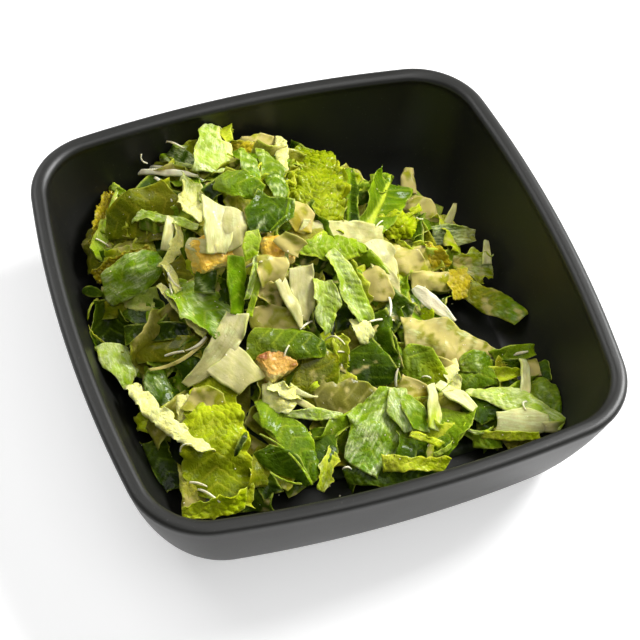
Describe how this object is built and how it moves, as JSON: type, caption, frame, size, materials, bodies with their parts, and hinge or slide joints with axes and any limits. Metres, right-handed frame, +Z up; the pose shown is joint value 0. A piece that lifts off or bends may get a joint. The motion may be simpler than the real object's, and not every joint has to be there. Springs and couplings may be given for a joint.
{
  "type": "caesar salad in a square bowl",
  "caption": "Heap of cut romaine lettuce with croutons, shards of hard cheese and pale dressing, served in a deep square bowl with bowed sides and round corners.",
  "frame": {"origin": "on the table under the middle of the bowl", "axes": "+Z up; the bowl's straightest sides run along X and Y, and the salad is heaped towards -X and +Y"},
  "size_m": [0.21, 0.21, 0.0665],
  "materials": {
    "bowl_glaze": "satin black glaze on stoneware",
    "lettuce": "wet lettuce leaf coated in dressing",
    "crouton": "toasted bread, golden with browned edges",
    "cheese": "dry hard cheese, matte and pale"
  },
  "bodies": {
    "root": {"bowl": "bowl_glaze", "salad": "lettuce", "crouton_1": "crouton", "crouton_2": "crouton", "crouton_3": "crouton", "cheese_1": "cheese", "cheese_2": "cheese"}
  },
  "joints": []
}
